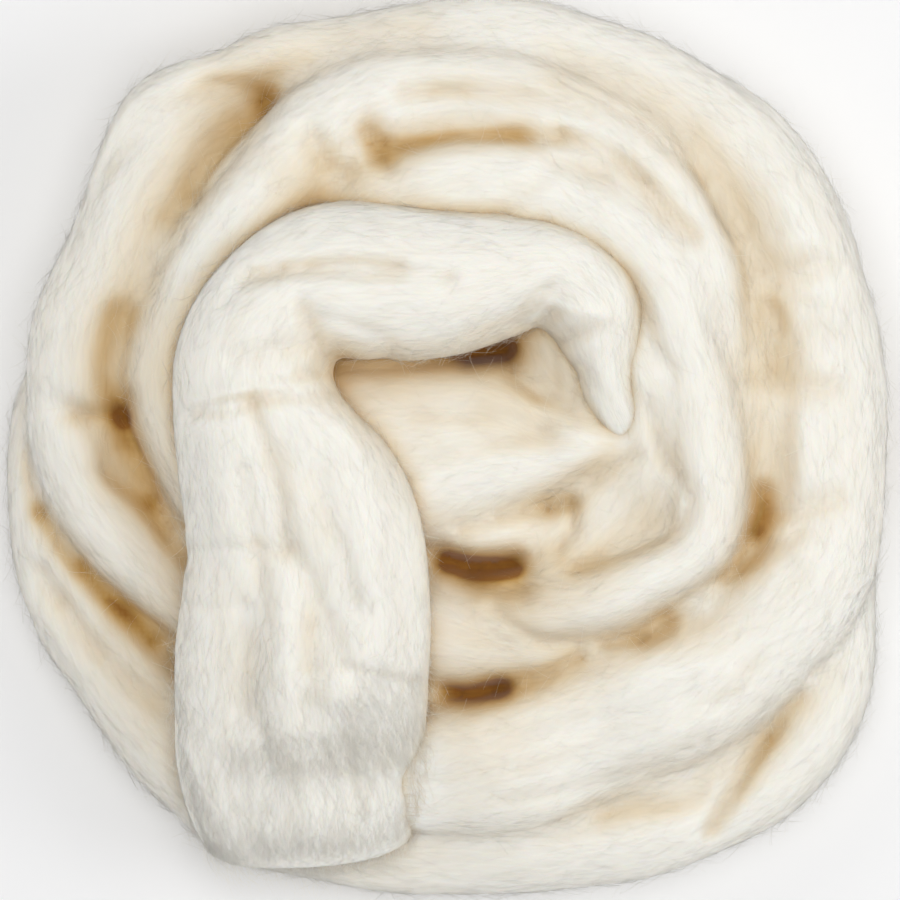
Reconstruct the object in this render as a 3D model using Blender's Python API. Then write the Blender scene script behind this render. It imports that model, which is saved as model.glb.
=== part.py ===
"""A coil of wool roving: one long strand of combed wool wound in a flat nest, its loose end lapped over it.

Units are metres and +Z is up. The tables below are in millimetres (MM turns them into metres).
The coil rests on the plane z = 0, with the middle of its bounding box over the origin.
Every turn is a soft, flattened tube swept along a hand-placed path. The turns are fused into the one
solid "coil". The loose end that lies over them is the solid "loose_end", kept a small gap away.
"""

import math
from collections import namedtuple

import bmesh
import bpy
from mathutils import Matrix, Vector

MM = 0.001

# ---- driving dimensions, in millimetres ----
TURN_STEP = 5.0            # distance between the rings of a swept turn
TURN_SIDES = 28            # points around one ring
ROUNDNESS = 2.3            # superellipse exponent of the section: 2 is an ellipse, more is boxier
END_ROUNDNESS = 1.8        # the loose end's exponent: it thins out towards its edges
COIL_VOXEL = 2.6           # size of the cells that fuse the turns
END_VOXEL = 2.2            # size of the cells that settle the loose end
COIL_TRIANGLES = 8200      # how finely the coil is faceted
END_TRIANGLES = 2400       # how finely the loose end is faceted
LAP_CLEARANCE = 0.6        # gap between the coil and the loose end
HEADROOM = 60.0            # height above the loose end that is kept clear of the coil
FLOOR_BLOCK = 400.0        # side of the block that cuts the turns off level with the floor
CENTRE_SHIFT = (-0.6, -0.1)  # moves the middle of the bounding box over the origin
HIDDEN_CENTRE = (-1.0, -4.0)               # plan point that the unseen turns go round
HIDDEN_TURN = (82.0, 31.0, 39.0, 31.0)     # their first radius, fall per turn, width and thickness
LIFTED_TURN = (43.0, 30.0, 74.0, 27.0)     # radius, height, width and thickness of the turn half way up

# One row per section of a turn: its centre, its width, its thickness, how far its two edges droop, and by
# how many degrees its left-hand edge is raised, seen the way that the turn runs.
Section = namedtuple("Section", "x y z wide thick droop lean")
# A soft trough pressed into one turn: its depth, its half-width and the plan points that it runs through.
Crease = namedtuple("Crease", "turn depth spread path")

TURNS = {
    # the lowest turn, on the floor, from the right over the back and round to the lobe at the front right
    "floor": [
        (86, -20, 14, 30, 32, 0, 0), (97, 2, 14, 32, 34, 0, 0), (102, 26, 14, 32, 34, 0, 0),
        (96, 56, 14, 32, 34, 0, 0), (82, 81, 14, 32, 34, 0, 0), (57, 98, 14, 32, 34, 0, 0),
        (27, 107, 14, 32, 34, 0, 0), (-5, 110, 14, 32, 34, 0, 0), (-37, 106, 14, 32, 34, 0, 0),
        (-65, 91, 14, 32, 34, 0, 0), (-87, 68, 14, 32, 34, 0, 0), (-102, 40, 14, 32, 34, 0, 0),
        (-111, 10, 15, 33, 34, 0, 0), (-114, -16, 16, 32, 34, 0, 0), (-108, -40, 16, 33, 34, 0, 0),
        (-96, -64, 16, 34, 34, 0, 0), (-78, -86, 16, 35, 34, 0, 0), (-56, -103, 15, 36, 34, 0, 0),
        (-29, -112, 15, 36, 34, 0, 0), (1, -114, 16, 35, 34, 0, 0), (29, -113, 17, 36, 34, 0, 0),
        (57, -109, 18, 38, 35, 0, 0), (81, -100, 18, 36, 36, 0, 0), (101, -82, 18, 35, 36, 0, 0),
        (111, -60, 17, 33, 35, 0, 0), (112, -35, 15, 32, 34, 0, 0), (108, -6, 14, 31, 34, 0, 0),
    ],
    # the outer turn, from under the loose end round the front, up the right and over to its thin tail
    "outer": [
        (-58, -93, 24, 26, 24, 0, 0), (-32, -96, 29, 33, 30, 1, 0), (-2, -94, 32, 41, 32, 2, 6),
        (22, -89, 35, 46, 35, 3, 6), (48, -80, 37, 49, 36, 4, 10), (71, -69, 38, 48, 37, 4, 10),
        (91, -54, 38, 45, 37, 3, 10), (106, -36, 38, 41, 36, 3, 10), (110, -15, 38, 40, 36, 4, 10),
        (109, 7, 38, 41, 36, 4, 10), (108, 31, 38, 38, 36, 3, 10), (104, 55, 38, 34, 36, 2, 10),
        (90, 82, 38, 33, 36, 1, 10), (66, 103, 38, 32, 36, 1, 10), (36, 115, 37, 31, 35, 1, 10),
        (3, 116, 37, 29, 34, 1, 10), (-29, 115, 37, 26, 33, 1, 10), (-49, 116, 38, 20, 31, 0, 6),
        (-64, 113, 38, 15, 28, 0, 0), (-78, 107, 38, 12, 25, 0, 0), (-88, 101, 37, 11, 22, 0, 0),
        (-97, 90, 36, 9, 20, 0, 0), (-103, 78, 34, 7, 17, 0, 0), (-107, 65, 32, 5, 13, 0, 0),
    ],
    # its other length, from inside that tail down the left and under the loose end
    "outer_left": [
        (-51, 108, 29, 22, 25, 0, 0), (-64, 103, 32, 29, 29, 0, 0), (-77, 92, 34, 34, 32, 1, 4),
        (-90, 75, 35, 31, 33, 1, 6), (-97, 58, 36, 32, 32, 1, 8), (-105, 37, 36, 34, 31, 1, 8),
        (-107, 19, 35, 34, 30, 1, 8), (-107, 1, 34, 34, 29, 1, 6), (-100, -15, 33, 30, 28, 1, 4),
        (-88, -30, 32, 27, 27, 0, 4), (-74, -46, 30, 24, 26, 0, 4), (-52, -59, 30, 24, 26, 0, 4),
    ],
    # the middle turn, from under the inner one at the right over the back and down the left
    "middle": [
        (83, 18, 38, 13, 24, 0, 5), (82, 31, 42, 19, 30, 1, 5), (78, 44, 45, 24, 33, 1, 5),
        (75, 55, 48, 26, 34, 1, 5), (65, 73, 49, 28, 35, 1, 5), (49, 88, 50, 29, 36, 2, 5),
        (31, 99, 50, 30, 36, 2, 5), (13, 104, 50, 31, 36, 2, 5), (-6, 105, 50, 29, 36, 2, 5),
        (-20, 102, 50, 33, 36, 2, 5), (-34, 94, 50, 35, 36, 2, 5), (-46, 85, 50, 33, 36, 2, 5),
        (-58, 72, 50, 30, 35, 1, 5), (-71, 55, 49, 28, 34, 1, 5), (-78, 37, 47, 29, 33, 1, 5),
        (-80, 18, 45, 28, 32, 1, 5), (-77, 0, 43, 26, 31, 1, 0), (-66, -18, 41, 25, 30, 0, 0),
        (-49, -35, 39, 25, 28, 0, 0), (-26, -48, 38, 26, 27, 0, 0), (-3, -53, 40, 30, 28, 0, 0),
        (9, -56, 42, 26, 27, 0, 0), (20, -58, 43, 18, 23, 0, 0), (32, -59, 43, 11, 18, 0, 0),
        (43, -57, 42, 5, 12, 0, 0),
    ],
    # the inner turn, from under the loose end over the back, down the right and back to the left
    "inner": [
        (-34, 62, 44, 21, 30, 0, 0), (-23, 72, 50, 25, 32, 0, 0), (-8, 78, 53, 28, 33, 1, 6),
        (10, 80, 54, 29, 33, 1, 6), (27, 77, 55, 29, 34, 2, 6), (42, 70, 55, 29, 34, 2, 6),
        (54, 59, 55, 28, 34, 2, 6), (64, 45, 54, 28, 34, 2, 6), (69, 31, 54, 27, 34, 2, 6),
        (73, 16, 53, 28, 34, 2, 6), (76, 0, 53, 26, 34, 1, 6), (78, -16, 52, 22, 33, 1, 6),
        (74, -29, 52, 21, 33, 1, 6), (61, -37, 52, 23, 32, 1, 6), (44, -44, 50, 25, 32, 1, 0),
        (28, -47, 46, 23, 29, 1, 0), (15, -45, 40, 20, 26, 0, 0), (2, -43, 33, 18, 24, 0, 0),
    ],
    # the tongue that fills the middle and folds back on itself at its right end
    "tongue": [
        (-52, -6, 44, 44, 24, 0, 0), (-29, -2, 46, 54, 26, 1, 0), (-6, -1, 47, 57, 28, 2, 0),
        (13, 2, 48, 46, 28, 2, 0), (29, 1, 49, 28, 27, 1, 0), (43, 1, 51, 18, 26, 0, 0),
        (53, 2, 54, 12, 24, 0, 0),
    ],
    # the drawn-in side of the tongue's fold, below the loose end's
    "cheek": [
        (30, 45, 42, 34, 24, 0, 14), (33, 34, 43, 38, 25, 1, 16), (39, 23, 45, 34, 25, 1, 16),
        (45, 13, 48, 25, 24, 0, 12), (52, 4, 51, 14, 22, 0, 6),
    ],
    # the small pouch on the middle turn at the back
    "pouch": [
        (-43, 83, 46, 19, 26, 0, 0), (-35, 85, 49, 25, 29, 0, 0), (-28, 86, 50, 25, 29, 0, 0),
        (-21, 86, 48, 16, 26, 0, 0),
    ],
    # the sunken lengths that close the gap between the outer and the inner turns
    "nook": [
        (87, 63, 32, 16, 28, 0, 0), (90, 41, 36, 19, 29, 0, 0), (91, 16, 37, 21, 29, 0, 0),
        (90, -1, 36, 19, 28, 0, 0), (86, -24, 34, 18, 27, 0, 0), (74, -41, 36, 18, 27, 0, 0),
        (57, -51, 37, 18, 26, 0, 0), (38, -60, 35, 15, 25, 0, 0), (20, -67, 32, 13, 22, 0, 0),
    ],
    # the sunken side between the inner turn and the tongue
    "wall": [
        (46, 44, 45, 15, 26, 0, 0), (54, 29, 49, 18, 28, 0, 0), (60, 13, 48, 24, 29, 0, 0),
        (62, -1, 46, 29, 30, 0, 0), (60, -16, 44, 32, 30, 0, 0), (50, -28, 43, 33, 30, 0, 0),
        (37, -36, 42, 29, 28, 0, 0), (25, -42, 39, 19, 24, 0, 0), (18, -45, 36, 12, 19, 0, 0),
    ],
    # the small bulge below the tongue
    "bulge": [
        (-2, -24, 40, 13, 23, 0, 0), (10, -24, 43, 15, 25, 0, 0), (22, -23, 43, 15, 25, 0, 0),
        (32, -22, 41, 11, 21, 0, 0),
    ],
}

# the loose end, from the fold in the middle over the back left and down to its feathered tip at the front
LOOSE_END = [
    (57, -2, 42, 6, 12, 0, 0), (54, 5, 48, 12, 18, 0, 2), (51, 16, 54, 17, 24, 1, 4),
    (47, 31, 57, 19, 28, 1, 6), (41, 44, 60, 25, 31, 2, 6), (31, 52, 63, 27, 32, 3, 4),
    (16, 51, 65, 35, 33, 4, 2), (-2, 49, 66, 44, 33, 5, 0), (-20, 49, 67, 47, 32, 5, 0),
    (-38, 48, 68, 44, 30, 5, 0), (-51, 39, 69, 44, 28, 5, 0), (-57, 26, 70, 47, 24, 6, 0),
    (-56, 13, 71, 52, 21, 8, 1), (-52, 0, 71, 59, 20, 10, 2), (-46, -15, 71, 68, 19, 12, 4),
    (-42, -29, 70, 72, 18, 13, 6), (-42, -47, 68, 75, 18, 14, 8), (-44, -63, 65, 75, 17, 14, 9),
    (-43, -77, 60, 74, 15, 12, 9), (-41, -87, 54, 73, 13, 9, 8), (-38, -98, 48, 72, 11, 7, 8),
    (-35, -107, 41, 68, 9, 4, 8), (-34, -115, 36, 64, 7, 2, 8),
]

CREASES = [
    Crease("outer_left", 5.0, 3.0, [(-115, 13), (-103, 8), (-96, -8)]),
    Crease("outer", 3.5, 2.5, [(94, 53), (110, 52)]),
    Crease("outer", 3.0, 3.0, [(15, -84), (45, -80), (73, -69)]),
    Crease("middle", 3.0, 3.0, [(-13, 103), (10, 104), (29, 100), (51, 93)]),
    Crease("middle", 4.0, 4.0, [(-22, 95), (-24, 85), (-35, 83), (-40, 90)]),
    Crease("inner", 3.0, 2.5, [(13, 65), (22, 74), (30, 83)]),
    Crease("inner", 3.0, 2.5, [(27, 66), (38, 76), (43, 84)]),
    Crease("tongue", 2.5, 4.0, [(-9, 12), (10, 9), (29, 4)]),
    Crease("floor", 4.0, 3.0, [(-121, -36), (-106, -57), (-93, -70), (-83, -77)]),
    Crease("floor", 5.0, 3.5, [(101, -74), (93, -86), (86, -97), (78, -112)]),
    Crease("loose_end", 3.0, 3.0, [(-59, 50), (-44, 52), (-24, 51), (0, 50)]),
    Crease("loose_end", 3.5, 2.5, [(27, 46), (21, 36)]),
    Crease("loose_end", 3.5, 2.5, [(41, 35), (26, 31)]),
    Crease("loose_end", 3.0, 2.5, [(-74, 13), (-57, 16), (-36, 22)]),
    Crease("loose_end", 3.5, 3.0, [(-57, 12), (-52, 0), (-49, -16), (-47, -30), (-40, -37), (-37, -47),
                                   (-38, -62)]),
]


def smooth_sections(rows, step):
    """The rows as Section tuples about one step apart, on a Catmull-Rom curve through them."""
    sections = []
    last = len(rows) - 1
    for i in range(last):
        before, here, after, beyond = rows[max(i - 1, 0)], rows[i], rows[i + 1], rows[min(i + 2, last)]
        count = max(1, round(math.dist(here[:3], after[:3]) / step))
        for j in range(count):
            t = j / count
            sections.append(Section(*(
                0.5 * (2 * b + (c - a) * t + (2 * a - 5 * b + 4 * c - d) * t * t
                       + (3 * b - a - 3 * c + d) * t ** 3)
                for a, b, c, d in zip(before, here, after, beyond)
            )))
    sections.append(Section(*rows[last]))
    return sections


def end_scale(sections, index):
    """1 along a turn, and less within half a thickness of its two ends, so that they close round."""
    here = sections[index]
    reach = here.thick / 2
    to_end = min(math.dist(here[:3], sections[0][:3]), math.dist(here[:3], sections[-1][:3]))
    share = min(1.0, (to_end + 0.08 * reach) / reach)
    return math.sqrt(1 - (1 - share) ** 2)


def ring_points(section, along, scale, roundness):
    """The points around one section, square to the way that the turn runs."""
    level = Vector((0, 0, 1)).cross(along).normalized()
    side = Matrix.Rotation(math.radians(section.lean), 3, along) @ level
    up = along.cross(side).normalized()
    half_wide = section.wide / 2 * scale
    half_thick = section.thick / 2 * scale
    points = []
    for k in range(TURN_SIDES):
        angle = 2 * math.pi * k / TURN_SIDES
        across = math.copysign(abs(math.cos(angle)) ** (2 / roundness), math.cos(angle))
        lift = math.copysign(abs(math.sin(angle)) ** (2 / roundness), math.sin(angle))
        centre = Vector((section.x, section.y, section.z - section.droop * across * across))
        points.append(centre + side * (half_wide * across) + up * (half_thick * lift))
    return points


def distance_to_path(point, path):
    """The plan distance from a point to a polyline."""
    best = math.inf
    for start, stop in zip(path, path[1:]):
        start, stop = Vector(start), Vector(stop)
        run = stop - start
        t = min(1.0, max(0.0, (point - start).dot(run) / run.length_squared))
        best = min(best, (point - start - run * t).length)
    return best


def press_creases(mesh, turn):
    """Presses the creases of one turn into the upper side of its mesh."""
    for crease in (c for c in CREASES if c.turn == turn):
        for vert in mesh.verts:
            if vert.normal.z > 0:
                away = distance_to_path(vert.co.xy, crease.path)
                vert.co -= vert.normal * (crease.depth * math.exp(-(away / crease.spread) ** 2))


def sweep(turn, rows):
    """One turn as a closed tube, as a bmesh in millimetres."""
    sections = smooth_sections(rows, TURN_STEP)
    last = len(sections) - 1
    roundness = END_ROUNDNESS if turn == "loose_end" else ROUNDNESS
    mesh = bmesh.new()
    rings = []
    for i, section in enumerate(sections):
        before, after = sections[max(i - 1, 0)], sections[min(i + 1, last)]
        along = (Vector(after[:3]) - Vector(before[:3])).normalized()
        points = ring_points(section, along, end_scale(sections, i), roundness)
        rings.append([mesh.verts.new(point) for point in points])
    for ring, following in zip(rings, rings[1:]):
        for k in range(TURN_SIDES):
            after = (k + 1) % TURN_SIDES
            mesh.faces.new((ring[k], following[k], following[after], ring[after]))
    mesh.faces.new(rings[0])
    mesh.faces.new(reversed(rings[last]))
    bmesh.ops.recalc_face_normals(mesh, faces=mesh.faces)
    mesh.normal_update()
    press_creases(mesh, turn)
    return mesh


def hidden_rows():
    """The unseen turns inside the lowest one: one round turn on the floor, then a spiral inward."""
    first, fall, wide, thick = HIDDEN_TURN
    rows = []
    for turned in range(0, 66):
        turns = turned / 24
        radius = first - fall * max(0.0, turns - 0.8)
        angle = 2 * math.pi * turns
        x = HIDDEN_CENTRE[0] + radius * math.cos(angle)
        y = HIDDEN_CENTRE[1] + radius * math.sin(angle)
        rows.append((x, y, thick / 2 - 2, wide, thick, 0, 0))
    return rows


def lifted_rows():
    """The unseen turn that carries the inner ones, half way up."""
    radius, height, wide, thick = LIFTED_TURN
    step = 2 * math.pi / 15
    return [
        (radius * math.cos(turned * step), radius * math.sin(turned * step), height, wide, thick, 0, 0)
        for turned in range(16)
    ]


def fused(name, meshes, voxel, triangles):
    """The meshes as one object in metres, fused into one closed skin of about that many triangles."""
    whole = bpy.data.meshes.new(name)
    joined = bmesh.new()
    for mesh in meshes:
        part = bpy.data.meshes.new("part")
        mesh.to_mesh(part)
        mesh.free()
        joined.from_mesh(part)
        bpy.data.meshes.remove(part)
    bmesh.ops.scale(joined, vec=(MM, MM, MM), verts=joined.verts)
    bmesh.ops.translate(joined, vec=(CENTRE_SHIFT[0] * MM, CENTRE_SHIFT[1] * MM, 0), verts=joined.verts)
    joined.to_mesh(whole)
    joined.free()
    piece = bpy.data.objects.new(name, whole)
    bpy.context.collection.objects.link(piece)
    remesh = piece.modifiers.new("Fuse", "REMESH")
    remesh.mode = "VOXEL"
    remesh.voxel_size = voxel * MM
    settle(piece)
    facet = piece.modifiers.new("Facet", "DECIMATE")
    facet.ratio = triangles / sum(len(face.vertices) - 2 for face in piece.data.polygons)
    facet.use_collapse_triangulate = True
    settle(piece)
    return piece


def settle(piece):
    """Turns what a piece's modifiers make into its own mesh."""
    graph = bpy.context.evaluated_depsgraph_get()
    shaped = bpy.data.meshes.new_from_object(piece.evaluated_get(graph), depsgraph=graph)
    piece.modifiers.clear()
    piece.data = shaped


def cut_away(piece, cutter):
    """Takes the cutter's space out of a piece."""
    cutter.hide_render = True
    cutter.display_type = "WIRE"
    cut = piece.modifiers.new("Cut", "BOOLEAN")
    cut.operation = "DIFFERENCE"
    cut.solver = "EXACT"
    cut.object = cutter
    bpy.context.view_layer.update()
    settle(piece)


def floor_block():
    """A block below the floor, which flattens the underside where the turns rest."""
    mesh = bmesh.new()
    bmesh.ops.create_cube(mesh, size=FLOOR_BLOCK * MM)
    bmesh.ops.translate(mesh, vec=(0, 0, -FLOOR_BLOCK * MM / 2), verts=mesh.verts)
    return cutter_object("floor_block", mesh)


def cutter_object(name, mesh):
    """A bmesh as an object that only cuts."""
    skin = bpy.data.meshes.new(name)
    mesh.to_mesh(skin)
    mesh.free()
    cutter = bpy.data.objects.new(name, skin)
    bpy.context.collection.objects.link(cutter)
    return cutter


def room_for(piece, headroom):
    """A cutter around a piece: its own skin moved out by the clearance, and its upper side raised."""
    mesh = bmesh.new()
    mesh.from_mesh(piece.data)
    mesh.normal_update()
    for vert in mesh.verts:
        vert.co += vert.normal * (LAP_CLEARANCE * MM)
        if vert.normal.z > 0.2:
            vert.co.z += headroom * MM
    return cutter_object("room", mesh)


def keep_largest(piece):
    """Deletes crumbs: only the skin with the most faces, each joined to the next at an edge, stays."""
    mesh = bmesh.new()
    mesh.from_mesh(piece.data)
    unseen = set(mesh.faces)
    shells = []
    while unseen:
        front = [unseen.pop()]
        shell = set(front)
        while front:
            for edge in front.pop().edges:
                for face in edge.link_faces:
                    if face in unseen:
                        unseen.remove(face)
                        shell.add(face)
                        front.append(face)
        shells.append(shell)
    largest = max(shells, key=len)
    crumbs = [face for shell in shells if shell is not largest for face in shell]
    bmesh.ops.delete(mesh, geom=crumbs, context="FACES")
    mesh.to_mesh(piece.data)
    mesh.free()


def wool_material(name, colour):
    """A soft matt wool: its colour, full roughness and no metal."""
    material = bpy.data.materials.new(name)
    material.use_nodes = True
    shader = material.node_tree.nodes["Principled BSDF"]
    shader.inputs["Base Color"].default_value = (*colour, 1)
    shader.inputs["Roughness"].default_value = 0.95
    shader.inputs["Metallic"].default_value = 0
    return material


def build():
    for item in list(bpy.data.objects):
        bpy.data.objects.remove(item, do_unlink=True)

    turns = [sweep(name, rows) for name, rows in TURNS.items()]
    turns += [sweep("hidden", hidden_rows()), sweep("lifted", lifted_rows())]
    coil = fused("coil", turns, COIL_VOXEL, COIL_TRIANGLES)
    cut_away(coil, floor_block())

    loose_end = fused("loose_end", [sweep("loose_end", LOOSE_END)], END_VOXEL, END_TRIANGLES)
    for headroom in (0, HEADROOM):
        cut_away(coil, room_for(loose_end, headroom))
    keep_largest(coil)

    coil.data.materials.clear()
    coil.data.materials.append(wool_material("coil wool", (0.86, 0.82, 0.74)))
    loose_end.data.materials.clear()
    loose_end.data.materials.append(wool_material("loose end wool", (0.88, 0.85, 0.79)))
    for piece in (coil, loose_end):
        piece.data.shade_smooth()


build()
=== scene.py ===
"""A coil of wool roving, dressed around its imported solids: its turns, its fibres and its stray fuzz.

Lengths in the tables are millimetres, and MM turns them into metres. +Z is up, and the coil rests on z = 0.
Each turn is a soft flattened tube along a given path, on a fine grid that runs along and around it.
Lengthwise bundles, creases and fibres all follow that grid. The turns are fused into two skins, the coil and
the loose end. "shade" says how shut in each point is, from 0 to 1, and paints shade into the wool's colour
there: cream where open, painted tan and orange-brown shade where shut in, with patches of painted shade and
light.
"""

import math
from collections import namedtuple

import bpy
import numpy as np
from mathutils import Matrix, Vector
from mathutils.bvhtree import BVHTree


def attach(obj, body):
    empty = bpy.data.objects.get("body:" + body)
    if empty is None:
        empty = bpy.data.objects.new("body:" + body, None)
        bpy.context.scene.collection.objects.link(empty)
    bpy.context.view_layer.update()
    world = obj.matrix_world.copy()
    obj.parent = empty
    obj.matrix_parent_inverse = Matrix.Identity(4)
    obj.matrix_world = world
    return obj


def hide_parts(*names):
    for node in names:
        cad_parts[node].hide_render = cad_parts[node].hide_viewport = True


MM = 0.001

# ---- sizes, in millimetres ----
GRID = 1.7                     # spacing of a turn's grid, along and around
ROUNDNESS = 2.3                # superellipse exponent of a section
END_ROUNDNESS = 2.2            # the loose end's
CENTRE_SHIFT = (-0.6, -0.1)    # where the tables' origin lies in the frame
HIDDEN_CENTRE = (-1.0, -4.0)
HIDDEN_TURN = (82.0, 31.0, 39.0, 31.0)     # first radius, fall per turn, width and thickness
LIFTED_TURN = (43.0, 30.0, 74.0, 27.0)     # radius, height, width and thickness
COIL_VOXEL = 1.65              # grain of the coil's fused skin
END_VOXEL = 1.3                # grain of the loose end's skin
LYING_FIBRES = 4800            # in each of the coil's pieces of them
STRAY_FIBRES = 4200
END_SHARE = 0.75               # the loose end has this share of them
END_RELIEF = 0.9               # how strongly the loose end swells, next to the turns
TIP_FIBRES = 2600              # that run out from the loose end's tip
FUZZ_TOP = 92.5                # no loose fibre stands higher
FUZZ_REACH = 9.0               # or ends further from its root
LYING_LENGTH = (5, 16)         # least and most
LYING_RADIUS = (0.020, 0.036)
STRAY_RADIUS = (0.028, 0.055)
TIP_LENGTH = (5, 17)
TIP_RADIUS = (0.025, 0.045)
FLOOR_GAP = 0.12               # the least height of a fibre's middle
SLOTS = 2.2                    # half the width of the slots between turns that are filled
FOLLOW_REACH = 8.0             # how far from a turn the skin can lie
SKIN_FLOOR = 0.02              # the skins' least height
SEAM_REACH = 1.8               # how near the next turn has to be for two turns to melt together

# ---- how shut in a point is: the painted shade ----
NEAR_REACH = 14.0              # how far away wool still shades a point, in millimetres
BROAD_REACH = 70.0
NEAR_SHARE = 0.25
OTHER_SHARE = 0.6              # what the other skin's shade counts for
BROAD_SHARE = 1.0
# painted shade on steep sides
STEEP_SHARE = 0.04
# painted shade, darker and warmer towards the bottom
LOW_SHARE = 0.02
FULL_HEIGHT = 83.0

# ---- colours and lights ----
# The wool's own cream at shade 0; the later colours are painted shade, warm tan to deep orange-brown.
WOOL_AND_PAINTED_SHADE_COLOURS = [               # at each shade
    (0.0, (0.925, 0.902, 0.828)),
    (0.05, (0.890, 0.852, 0.758)),
    (0.13, (0.860, 0.792, 0.665)),
    (0.28, (0.800, 0.695, 0.525)),
    (0.42, (0.720, 0.565, 0.355)),
    (0.58, (0.640, 0.440, 0.205)),
    (0.70, (0.530, 0.315, 0.092)),
    (0.84, (0.320, 0.135, 0.018)),
]
STREAKS = 0.12                 # how far the broad streaks move the shade, from least to most
FIBRE_TONES = (0.93, 1.08)     # darkest and lightest loose fibre
CURL_TONES = (0.985, 1.01)
SCATTER = 0.3                  # share of the light that goes a little way into the strand
SCATTER_RADIUS = (1.0, 0.74, 0.48)
SCATTER_SCALE = 0.008          # metres
SURFACE_COLOUR = (0.95, 0.95, 0.955, 1)
SURFACE_HALF = 3.0             # metres
SURFACE_LEVEL = -0.0003        # just under the coil
LIGHT_SIZE = 0.8               # metres
LIGHTS = [                     # place in metres and power in watts
    ("key", (1.23, -0.10, 1.03), 5.8),
    ("top", (0.0, 0.0, 1.6), 7.4),
    ("back", (-0.61, 1.06, 1.03), 2.8),
]
SKY = 0.50                     # strength of the light from all round

# ---- camera ----
CAMERA_HEIGHT = 2.5            # metres above the surface
VIEW_WIDTH = 0.2646            # metres across the picture, at VIEW_LEVEL
VIEW_LEVEL = 0.040
SENSOR = 36.0

# A turn's cross-section: its middle, its size, how far its edges droop and how many degrees it leans.
Section = namedtuple("Section", "x y z wide thick droop lean", defaults=(0, 0))
Crease = namedtuple("Crease", "depth spread path")
Stroke = namedtuple("Stroke", "depth spread low path power", defaults=(1.3,))
# A patch of painted shade, or of painted light where its amount is below 0.
Tint = namedtuple("Tint", "amount spread path")
Bundle = namedtuple("Bundle", "height across along")

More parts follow.
